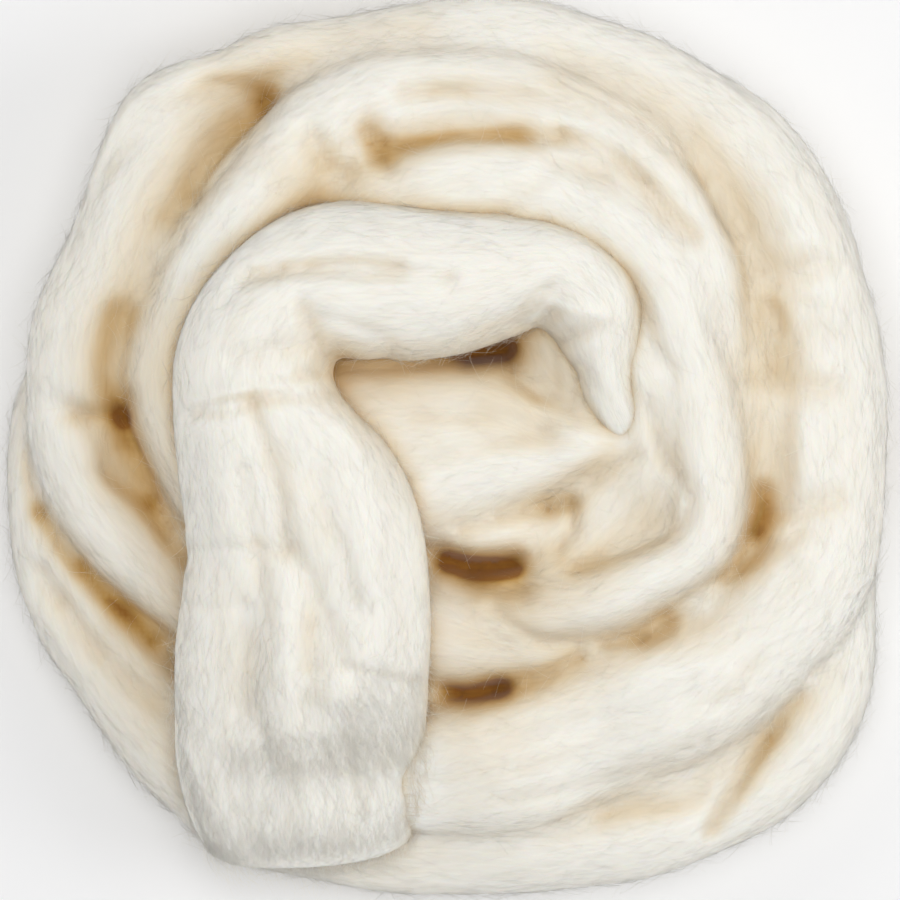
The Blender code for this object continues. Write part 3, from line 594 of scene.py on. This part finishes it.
def fuse(turns, voxel):
    """One closed skin round the turns: its points, in millimetres, and its quads."""
    points, quads, caps, start = [], [], [], 0
    for turn in turns:
        rings, around = turn.points.shape[:2]
        flat = turn.points.reshape(-1, 3)
        points += [flat, flat[:around].mean(0)[None], flat[-around:].mean(0)[None]]
        faces, ends = grid_faces(rings, around)
        quads.append(faces + start)
        caps.append(ends + start)
        start += len(flat) + 2
    return wrap(make_mesh("block", np.vstack(points), np.vstack(quads), np.vstack(caps)), voxel)


def wrap(block, voxel):
    """A new closed skin round a mesh object, which is then gone."""
    modifier = block.modifiers.new("skin", "REMESH")
    modifier.mode = "VOXEL"
    modifier.voxel_size = voxel
    graph = bpy.context.evaluated_depsgraph_get()
    mesh = block.evaluated_get(graph).to_mesh()
    co = np.empty(len(mesh.vertices) * 3, np.float32)
    mesh.vertices.foreach_get("co", co)
    index = np.empty(len(mesh.loops), np.int32)
    mesh.loops.foreach_get("vertex_index", index)
    block.evaluated_get(graph).to_mesh_clear()
    bpy.data.objects.remove(block)
    return largest_island(co.reshape(-1, 3).astype(float), index.reshape(-1, 4))


def close_slots(points, quads, width, voxel):
    """Fills the slots narrower than twice the width: the skin is moved out by it, wrapped and moved back."""
    for way in (width, -width):
        points, quads = wrap(make_mesh("block", points + way * point_normals(points, quads), quads), voxel)
    return points, quads


def point_normals(points, quads):
    """The outward direction at each point."""
    corner = points[quads]
    face = np.cross(corner[:, 2] - corner[:, 0], corner[:, 3] - corner[:, 1])
    return unit(np.stack([sum(np.bincount(quads[:, k], face[:, axis], len(points)) for k in range(4))
                          for axis in range(3)], 1))


def largest_island(points, quads):
    """The island with the most points."""
    label = np.arange(len(points))
    while True:
        low = label[quads].min(1)
        new = label.copy()
        for corner in range(4):
            np.minimum.at(new, quads[:, corner], low)
        new = new[new]
        if (new == label).all():
            break
        label = new
    keep = label == np.bincount(label).argmax()
    place = np.cumsum(keep) - 1
    return points[keep], place[quads[keep[quads[:, 0]]]]


class Skin:
    """A closed skin fused from turns, in millimetres, with the strand's flow over it."""

    def __init__(self, name, turns, voxel, seam, slots):
        self.name = name
        self.points, self.quads = fuse(turns, voxel)
        if slots:
            self.points, self.quads = close_slots(self.points, self.quads, slots, voxel)
        a, b = self.quads, np.roll(self.quads, -1, axis=1)
        self.edges = np.unique(np.sort(np.stack([a.ravel(), b.ravel()], 1), axis=1), axis=0)
        self.number = self.gather(np.ones(len(self.points)))
        gap = self.follow(turns)
        self.relax(2, 0.5)
        self.relax(seam, 0.6 * np.exp(-(gap / SEAM_REACH) ** 2))
        self.press()
        self.relax(1, 0.4)
        self.points[:, 2] = np.maximum(self.points[:, 2], SKIN_FLOOR)
        self.normals = self.find_normals()
        self.shade = np.zeros(len(self.points))

    def follow(self, turns):
        """Takes each point's turn, place and flow from the nearest turn. Returns how far the next turn is."""
        count = len(self.points)
        near, second = np.full(count, np.inf), np.full(count, np.inf)
        self.turn = np.zeros(count, int)
        self.run, self.round, self.flow = np.zeros(count), np.zeros(count), np.zeros((count, 3))
        self.girths = np.array([turn.girth for turn in turns])
        for number, turn in enumerate(turns):
            rings, around = turn.points.shape[:2]
            flat = turn.points.reshape(-1, 3)
            quads, _ = grid_faces(rings, around)
            tree = BVHTree.FromPolygons(flat.tolist(), quads.tolist())
            index, away = np.zeros(count, int), np.full(count, np.inf)
            for i, point in enumerate(self.points.tolist()):
                hit = tree.find_nearest(point, FOLLOW_REACH)
                if hit[2] is not None:
                    index[i], away[i] = hit[2], hit[3]
            closer = away < near
            second = np.where(closer, near, np.minimum(second, away))
            near = np.where(closer, away, near)
            ring, k = index[closer] // around, index[closer] % around
            flow = turn.flow[ring, k]
            offset = self.points[closer] - turn.points[ring, k]
            level = unit(np.roll(turn.points, -1, axis=1)[ring, k] - turn.points[ring, k])
            self.turn[closer] = number
            self.flow[closer] = flow
            self.run[closer] = turn.s[ring] + (offset * flow).sum(1)
            self.round[closer] = turn.v[k] + (offset * level).sum(1)
        return second

    def gather(self, values):
        """The sum of each point's neighbours' values."""
        a, b = self.edges.T
        return np.bincount(a, values[b], len(values)) + np.bincount(b, values[a], len(values))

    def relax(self, times, weight):
        """Moves each point toward the middle of its neighbours."""
        weight = np.broadcast_to(weight, len(self.points))[:, None]
        for _ in range(times):
            total = np.stack([self.gather(self.points[:, k]) for k in range(3)], 1)
            self.points = self.points + weight * (total / self.number[:, None] - self.points)

    def find_normals(self):
        return point_normals(self.points, self.quads)

    def press(self):
        """Presses this skin's strokes down into its upper side."""
        normals = self.find_normals()
        for stroke in [Stroke(*row) for row in STROKES[self.name]]:
            upper = np.clip(normals[:, 2] * 2.5 + 0.3, 0, 1) * (self.points[:, 2] > stroke.low)
            away = path_distance(self.points[:, :2], stroke.path)
            self.points[:, 2] -= stroke.depth * np.exp(-(away / stroke.spread) ** stroke.power) * upper

    def soften(self, values, times):
        """Blends a value on each point with its neighbours'."""
        for _ in range(times):
            values = 0.4 * values + 0.6 * self.gather(values) / self.number
        return values

    def tree(self):
        return BVHTree.FromPolygons(self.points.tolist(), self.quads.tolist())

    def piece(self, material):
        """The skin's mesh object."""
        piece = make_mesh(self.name + "_wool", to_frame(self.points), self.quads)
        # The painted shade, which the wool material turns into tan and orange-brown.
        add_value(piece, "shade", self.shade)
        girth = self.girths[self.turn[self.quads]]
        run, level = self.run[self.quads], self.round[self.quads]
        level = np.where(level.max(1)[:, None] - level > 0.5 * girth, level + girth, level)
        mixed = (self.turn[self.quads] != self.turn[self.quads[:, :1]]).any(1)
        run[mixed], level[mixed] = run[mixed, :1], level[mixed, :1]
        offset = 1000 * self.turn[self.quads[:, :1]]
        layer = piece.data.uv_layers.new(name="strand")
        layer.data.foreach_set("uv", (np.stack([run + offset, level], -1) * MM).astype(np.float32).ravel())
        piece.data.materials.append(material)
        return piece


def to_frame(points):
    """Table millimetres to the frame's metres."""
    moved = points.reshape(-1, 3).copy()
    moved[:, :2] += CENTRE_SHIFT
    return moved * MM


# ---------------------------------------------------------------- how shut in each point is: the painted shade
def hemisphere(count):
    """Directions spread over a hemisphere around +Z, denser at its top."""
    golden = math.pi * (3 - math.sqrt(5))
    k = np.arange(count) + 0.5
    z = np.sqrt(1 - k / count)
    r = np.sqrt(1 - z * z)
    return np.stack([r * np.cos(k * golden), r * np.sin(k * golden), z], axis=1)


def find_shade(skins, rays):
    """Gives each point its painted shade from the wool near by and farther off that shuts it in, and the
    patches.
    """
    starts = np.cumsum([0] + [len(skin.points) for skin in skins])
    points = np.vstack([skin.points for skin in skins])
    quads = np.vstack([skin.quads + first for skin, first in zip(skins, starts)])
    tree = BVHTree.FromPolygons(points.tolist(), quads.tolist())
    first_quads = len(skins[0].quads)
    for own, skin in enumerate(skins):
        n = skin.normals
        start = skin.points + n * 0.4
        helper = np.where(np.abs(n[:, 2:3]) < 0.9, [[0.0, 0.0, 1.0]], [[1.0, 0.0, 0.0]])
        tx = unit(np.cross(helper, n))
        ty = np.cross(n, tx)
        away, share = np.full((rays, len(start)), np.inf), np.ones((rays, len(start)))
        for ray, (x, y, z) in enumerate(hemisphere(rays)):
            way = (tx * x + ty * y + n * z).tolist()
            for i, point in enumerate(start.tolist()):
                _, _, face, hit = tree.ray_cast(point, way[i], BROAD_REACH)
                if hit is not None:
                    away[ray, i] = hit
                    share[ray, i] = 1.0 if (face >= first_quads) == own else OTHER_SHARE
        near = skin.soften((share * np.maximum(0, 1 - away / NEAR_REACH)).mean(0), 2)
        broad = skin.soften((share * np.maximum(0, 1 - away / BROAD_REACH)).mean(0), 4)
        # Painted shade: darker and warmer where shut in, on steep sides and towards the bottom.
        shade = (NEAR_SHARE * near + BROAD_SHARE * broad
                 + STEEP_SHARE * (1 - np.clip(skin.normals[:, 2], 0, 1))
                 + LOW_SHARE * (1 - skin.points[:, 2] / FULL_HEIGHT))
        # Patches of painted shade, and of painted light where the amount is below 0.
        for tint in [Tint(*row) for row in PAINTED_SHADE_PATCHES[skin.name]]:
            away = path_distance(skin.points[:, :2], tint.path)
            shade += tint.amount * np.exp(-(away / tint.spread) ** 2)
        skin.shade = np.clip(shade, 0, 1)


# ---------------------------------------------------------------- fibres
def tubes(name, paths, radii, facing, shade, rng, material):
    """Thin closed three-sided tubes, all in one mesh. paths is (fibres, points, 3), in millimetres."""
    count, steps = paths.shape[:2]
    along = unit(np.gradient(paths, axis=1))
    side = unit(np.cross(along, facing))
    up = np.cross(side, along)
    angle = np.array([0, 2, 4]) * math.pi / 3
    ring = side[:, :, None] * np.cos(angle)[:, None] + up[:, :, None] * np.sin(angle)[:, None]
    co = paths[:, :, None] + ring * radii[:, :, None, None]
    first = (np.arange(count) * steps * 3)[:, None, None]
    step = (np.arange(steps - 1) * 3)[None, :, None]
    k = np.arange(3)[None, None, :]
    a, b = first + step + k, first + step + (k + 1) % 3
    quads = np.stack([a, a + 3, b + 3, b], axis=-1).reshape(-1, 4)
    head = first[:, 0] + np.array([0, 1, 2])
    tail = first[:, 0] + (steps - 1) * 3 + np.array([2, 1, 0])
    piece = make_mesh(name, to_frame(co), quads, np.vstack([head, tail]))
    # Painted shade, taken from the skin at each fibre's root.
    add_value(piece, "shade", np.repeat(shade, 3 * steps))
    add_value(piece, "tint", np.repeat(rng.uniform(0, 1, count), 3 * steps))
    normals = np.repeat(unit(facing).reshape(-1, 3), 3, axis=0)
    piece.data.normals_split_custom_set_from_vertices(normals.tolist())
    piece.data.materials.append(material)
    return piece


def pick_points(skin, count, rng, chance):
    """Random points of a skin, with the given chance at each."""
    return rng.choice(len(skin.points), count, replace=len(skin.points) < count, p=chance / chance.sum())


def lying_fibres(skin, number, count, rng, material):
    """Fibres that lie along the strand, each following the skin from its middle both ways."""
    chance = np.clip(skin.normals[:, 2] + 0.6, 0, 1) * (skin.shade < 0.85)
    picked = pick_points(skin, count, rng, chance)
    tree = skin.tree()
    half = 2
    length = rng.uniform(*LYING_LENGTH, count)
    drift = rng.normal(0, 0.30, count)
    bend = rng.normal(0, 0.35, (count, 2 * half + 1))
    lift = rng.uniform(0.02, 0.16, count)
    paths, facing = np.zeros((count, 2 * half + 1, 3)), np.zeros((count, 2 * half + 1, 3))
    for i, at in enumerate(picked):
        for sign in (-1, 1):
            point, normal, flow = Vector(skin.points[at]), Vector(skin.normals[at]), Vector(skin.flow[at])
            paths[i, half], facing[i, half] = point + normal * lift[i], normal
            for step in range(1, half + 1):
                side = normal.cross(flow)
                way = (flow + side * (drift[i] + bend[i, half + sign * step])) * sign
                point = point + way * (length[i] / (2 * half))
                place, normal, face, _ = tree.find_nearest(point)
                corner = skin.quads[face][0]
                near_flow = Vector(skin.flow[corner])
                flow = near_flow if near_flow.dot(flow) > 0.5 else flow
                point = place
                rise = lift[i] * math.cos(0.5 * math.pi * step / half) - 0.05 * (step == half)
                paths[i, half + sign * step] = point + normal * rise
                facing[i, half + sign * step] = normal
    paths[:, :, 2] = np.maximum(paths[:, :, 2], FLOOR_GAP)
    taper = np.cos(np.linspace(-1, 1, 2 * half + 1) * math.pi / 2)
    radii = rng.uniform(*LYING_RADIUS, count)[:, None] * (0.35 + 0.65 * taper)
    return tubes(f"{skin.name}_fibres_{number}", paths, radii, facing, skin.shade[picked], rng, material)


def stray_fuzz(skin, number, count, rng, material):
    """Fine fibres that stand off the strand in small arcs, most of them at edges."""
    rim = np.exp(-((skin.normals[:, 2] - 0.3) / 0.4) ** 2) + 0.08
    chance = rim * (skin.normals[:, 2] > -0.5) * (skin.shade < 0.45)
    picked = pick_points(skin, count, rng, chance)
    start, normal = skin.points[picked][:, None], skin.normals[picked][:, None]
    along = skin.flow[picked][:, None] * rng.choice([-1, 1], count)[:, None, None]
    side = np.cross(along, normal) * [1, 1, 0.3]
    steps = 5
    t = np.linspace(0, 1, steps)[None, :, None]
    length = rng.gamma(3.0, 1.1, count)[:, None, None] + 1.5
    rise = rng.uniform(0.05, 0.55, count)[:, None, None]
    sway = rng.normal(0, 0.6, count)[:, None, None]
    curl = rng.normal(0, 1.1, count)[:, None, None]
    arc = length * (along * t + normal * rise * (t - 0.35 * t * t) + side * (sway * t + curl * t * t))
    reach = np.linalg.norm(arc[:, -1:], axis=-1, keepdims=True)
    paths = start + arc * np.minimum(1, FUZZ_REACH / reach)
    paths[:, :, 2] = np.clip(paths[:, :, 2], FLOOR_GAP, FUZZ_TOP)
    radii = rng.uniform(*STRAY_RADIUS, count)[:, None] * np.linspace(1, 0.4, steps)[None]
    facing = np.repeat(normal, steps, axis=1)
    return tubes(f"{skin.name}_fuzz_{number}", paths, radii, facing, 0.6 * skin.shade[picked], rng, material)


def feather(end, coil, count, rng, material):
    """Fibres that run out over the coil from the tip and the lower edges of the loose end."""
    run = end.run / end.run.max()
    tip, edge = np.clip((run - 0.9) / 0.1, 0, 1), end.normals[:, 2] < 0.8
    chance = np.clip((run - 0.72) / 0.2, 0, 1) * (0.25 + 2.5 * tip + 1.2 * edge) * (end.normals[:, 2] > 0.1)
    picked = pick_points(end, count, rng, chance)
    ground = BVHTree.FromPolygons(np.vstack([coil.points, end.points]).tolist(),
                                  np.vstack([coil.quads, end.quads + len(coil.points)]).tolist())
    steps = 6
    way = end.flow[picked] * [1, 1, 0]
    out = end.points[picked] * [1, 1, 0] - end.points[picked].mean(0) * [1, 1, 0]
    way = unit(way + 0.25 * unit(out) + rng.normal(0, 0.18, (count, 3)) * [1, 1, 0])
    side = way[:, [1, 0, 2]] * [-1, 1, 0]
    length = rng.uniform(*TIP_LENGTH, count)
    sway = rng.normal(0, 0.18, count)
    lift = rng.uniform(0.05, 0.6, count)
    paths, facing = np.zeros((count, steps, 3)), np.zeros((count, steps, 3))
    for step in range(steps):
        t = step / (steps - 1)
        spot = (end.points[picked] + way * (length * (t - 0.25))[:, None]
                + side * (length * sway * math.sin(3.5 * t))[:, None])
        for i, (x, y, _) in enumerate(spot.tolist()):
            place, normal, _, _ = ground.ray_cast(Vector((x, y, 150)), Vector((0, 0, -1)))
            if place is None:
                place, normal = Vector((x, y, max(0.2, paths[i, step - 1, 2] - 2.0))), Vector((0, 0, 1))
            paths[i, step] = place + normal * (lift[i] * math.sin(math.pi * min(1, 0.1 + t)))
            facing[i, step] = normal
    paths[:, 1:-1, 2] = (paths[:, :-2, 2] + 2 * paths[:, 1:-1, 2] + paths[:, 2:, 2]) / 4
    radii = rng.uniform(*TIP_RADIUS, count)[:, None] * np.linspace(1, 0.4, steps)[None]
    return tubes("loose_end_feather", paths, radii, facing, 0.5 * end.shade[picked], rng, material)


# ---------------------------------------------------------------- materials
def new_material(name):
    material = bpy.data.materials.new(name)
    material.use_nodes = True
    return material, material.node_tree.nodes, material.node_tree.links


def shade_ramp(nodes, links, source):
    """The wool's cream where open, then painted shade where shut in: warm tan, then deep orange-brown."""
    ramp = nodes.new("ShaderNodeValToRGB")
    first, *middle, last = WOOL_AND_PAINTED_SHADE_COLOURS
    elements = ramp.color_ramp.elements
    elements[0].position, elements[1].position = first[0], last[0]
    elements[0].color, elements[1].color = (*first[1], 1), (*last[1], 1)
    for place, colour in middle:
        elements.new(place).color = (*colour, 1)
    links.new(source, ramp.inputs[0])
    return ramp.outputs["Color"]


def toned(nodes, links, colour, source, tones):
    """The colour made darker or lighter: times the two tones, as the source runs from 0 to 1."""
    span = nodes.new("ShaderNodeMapRange")
    span.inputs["To Min"].default_value, span.inputs["To Max"].default_value = tones
    links.new(source, span.inputs["Value"])
    tone = nodes.new("ShaderNodeMix")
    tone.data_type = "RGBA"
    tone.blend_type = "MULTIPLY"
    tone.inputs["Factor"].default_value = 1.0
    links.new(colour, tone.inputs["A"])
    links.new(span.outputs["Result"], tone.inputs["B"])
    return tone.outputs["Result"]


def point_value(nodes, key):
    """The value that add_value put on each point."""
    node = nodes.new("ShaderNodeAttribute")
    node.attribute_name = key
    return node.outputs["Fac"]


def set_wool(shader):
    """The shader values that are the same all over."""
    shader.inputs["Roughness"].default_value = 0.85
    shader.inputs["Specular IOR Level"].default_value = 0.25
    shader.inputs["Sheen Weight"].default_value = 0.25
    shader.inputs["Sheen Roughness"].default_value = 0.5


def wool_material():
    """The strand: curly fibres, in colour and in relief, and broad streaks."""
    material, nodes, links = new_material("wool strand")
    shader = nodes["Principled BSDF"]
    set_wool(shader)
    shader.inputs["Subsurface Weight"].default_value = SCATTER
    shader.inputs["Subsurface Radius"].default_value = SCATTER_RADIUS
    shader.inputs["Subsurface Scale"].default_value = SCATTER_SCALE
    uv = nodes.new("ShaderNodeUVMap")
    uv.uv_map = "strand"

    def stretch(texture, along, across):
        mapping = nodes.new("ShaderNodeMapping")
        mapping.inputs["Scale"].default_value = (1 / along, 1 / across, 1)
        links.new(uv.outputs["UV"], mapping.inputs["Vector"])
        links.new(mapping.outputs["Vector"], texture.inputs["Vector"])
        return texture.outputs["Fac"]

    def streaks(along, across, detail):
        texture = nodes.new("ShaderNodeTexNoise")
        texture.noise_dimensions = "2D"
        texture.inputs["Scale"].default_value = 1.0
        texture.inputs["Detail"].default_value = detail
        texture.inputs["Roughness"].default_value = 0.6
        return stretch(texture, along, across)

    def curls(along, across):
        texture = nodes.new("ShaderNodeTexWave")
        texture.wave_type = "BANDS"
        texture.bands_direction = "Y"
        texture.inputs["Scale"].default_value = 0.16
        texture.inputs["Distortion"].default_value = 16.0
        texture.inputs["Detail"].default_value = 3.0
        texture.inputs["Detail Scale"].default_value = 0.9
        texture.inputs["Detail Roughness"].default_value = 0.7
        return stretch(texture, along, across)

    fine = curls(0.0050, 0.0011)
    broad = streaks(0.050, 0.0060, 3)
    mix = nodes.new("ShaderNodeMath")
    mix.operation = "MULTIPLY_ADD"
    links.new(broad, mix.inputs[0])
    mix.inputs[1].default_value = STREAKS
    links.new(point_value(nodes, "shade"), mix.inputs[2])
    lower = nodes.new("ShaderNodeMath")
    lower.operation = "SUBTRACT"
    links.new(mix.outputs[0], lower.inputs[0])
    lower.inputs[1].default_value = STREAKS / 2
    # The ramp paints the shade into the base colour: cream where open, tan and orange-brown where shut in.
    colour = shade_ramp(nodes, links, lower.outputs[0])
    links.new(toned(nodes, links, colour, fine, CURL_TONES), shader.inputs["Base Color"])
    bump = nodes.new("ShaderNodeBump")
    bump.inputs["Strength"].default_value = 0.12
    bump.inputs["Distance"].default_value = 0.0003
    links.new(fine, bump.inputs["Height"])
    links.new(bump.outputs["Normal"], shader.inputs["Normal"])
    return material


def fibre_material():
    """Loose fibres: the strand's colours and painted shade, each fibre a little lighter or darker."""
    material, nodes, links = new_material("wool fibre")
    shader = nodes["Principled BSDF"]
    set_wool(shader)
    colour = shade_ramp(nodes, links, point_value(nodes, "shade"))
    colour = toned(nodes, links, colour, point_value(nodes, "tint"), FIBRE_TONES)
    links.new(colour, shader.inputs["Base Color"])
    return material


# ---------------------------------------------------------------- stage, light and camera
def build_stage():
    """A plain pale surface, soft lights and a camera straight above."""
    mesh = bpy.data.meshes.new("surface")
    half, level = SURFACE_HALF, SURFACE_LEVEL
    corners = [(-half, -half, level), (half, -half, level), (half, half, level), (-half, half, level)]
    mesh.from_pydata(corners, [], [(0, 1, 2, 3)])
    surface = bpy.data.objects.new("surface", mesh)
    bpy.context.collection.objects.link(surface)
    material, nodes, _ = new_material("pale surface")
    nodes["Principled BSDF"].inputs["Base Color"].default_value = SURFACE_COLOUR
    nodes["Principled BSDF"].inputs["Roughness"].default_value = 0.9
    nodes["Principled BSDF"].inputs["Specular IOR Level"].default_value = 0.1
    mesh.materials.append(material)

    for name, place, power in LIGHTS:
        add_light(name, place, power)
    world = bpy.context.scene.world or bpy.data.worlds.new("world")
    bpy.context.scene.world = world
    world.use_nodes = True
    background = world.node_tree.nodes["Background"]
    background.inputs["Color"].default_value = (1.0, 1.0, 1.0, 1)
    background.inputs["Strength"].default_value = SKY

    data = bpy.data.cameras.new("camera")
    data.sensor_width = SENSOR
    data.lens = SENSOR * (CAMERA_HEIGHT - VIEW_LEVEL) / VIEW_WIDTH
    camera = bpy.data.objects.new("camera", data)
    camera.location = (0.0003, -0.0001, CAMERA_HEIGHT)
    bpy.context.collection.objects.link(camera)
    bpy.context.scene.camera = camera
    bpy.context.scene.view_settings.view_transform = "Standard"


def add_light(name, place, power):
    """A square soft light, aimed at the coil."""
    data = bpy.data.lights.new(name, "AREA")
    data.size = LIGHT_SIZE
    data.energy = power
    light = bpy.data.objects.new(name, data)
    light.location = place
    light.rotation_euler = Vector(place).to_track_quat("Z", "Y").to_euler()
    bpy.context.collection.objects.link(light)


# ---------------------------------------------------------------- the coil
def build():
    build_stage()
    turns = [Turn(name, rows, 100 + 20 * k) for k, (name, rows) in enumerate(TURNS.items())]
    turns += [Turn("hidden", hidden_rows(), 400), Turn("lifted", lifted_rows(), 420)]
    coarse = 1.0
    coil = Skin("coil", turns, COIL_VOXEL * coarse, 4, SLOTS)
    end = Skin("loose_end", [Turn("loose_end", LOOSE_END, 300)], END_VOXEL * coarse, 0, 0)
    find_shade([coil, end], 18)

    wool, fibre = wool_material(), fibre_material()
    pieces = [coil.piece(wool), end.piece(wool)]
    share = 1.0
    for skin, number, part in ((coil, 0, 1.0), (coil, 1, 1.0), (end, 0, END_SHARE)):
        rng = np.random.RandomState(500 + number)
        pieces.append(lying_fibres(skin, number, int(LYING_FIBRES * part * share), rng, fibre))
        pieces.append(stray_fuzz(skin, number, int(STRAY_FIBRES * part * share), rng, fibre))
    pieces.append(feather(end, coil, int(TIP_FIBRES * share), np.random.RandomState(530), fibre))
    for piece in pieces:
        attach(piece, "root")
    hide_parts("coil")
    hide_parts("loose_end")


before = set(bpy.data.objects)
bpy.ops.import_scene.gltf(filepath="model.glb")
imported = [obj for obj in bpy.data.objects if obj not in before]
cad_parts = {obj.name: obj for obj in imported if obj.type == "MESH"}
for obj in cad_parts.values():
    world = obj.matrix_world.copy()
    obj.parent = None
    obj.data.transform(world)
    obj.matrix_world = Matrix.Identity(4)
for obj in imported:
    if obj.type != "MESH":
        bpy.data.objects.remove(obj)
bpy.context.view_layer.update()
build()
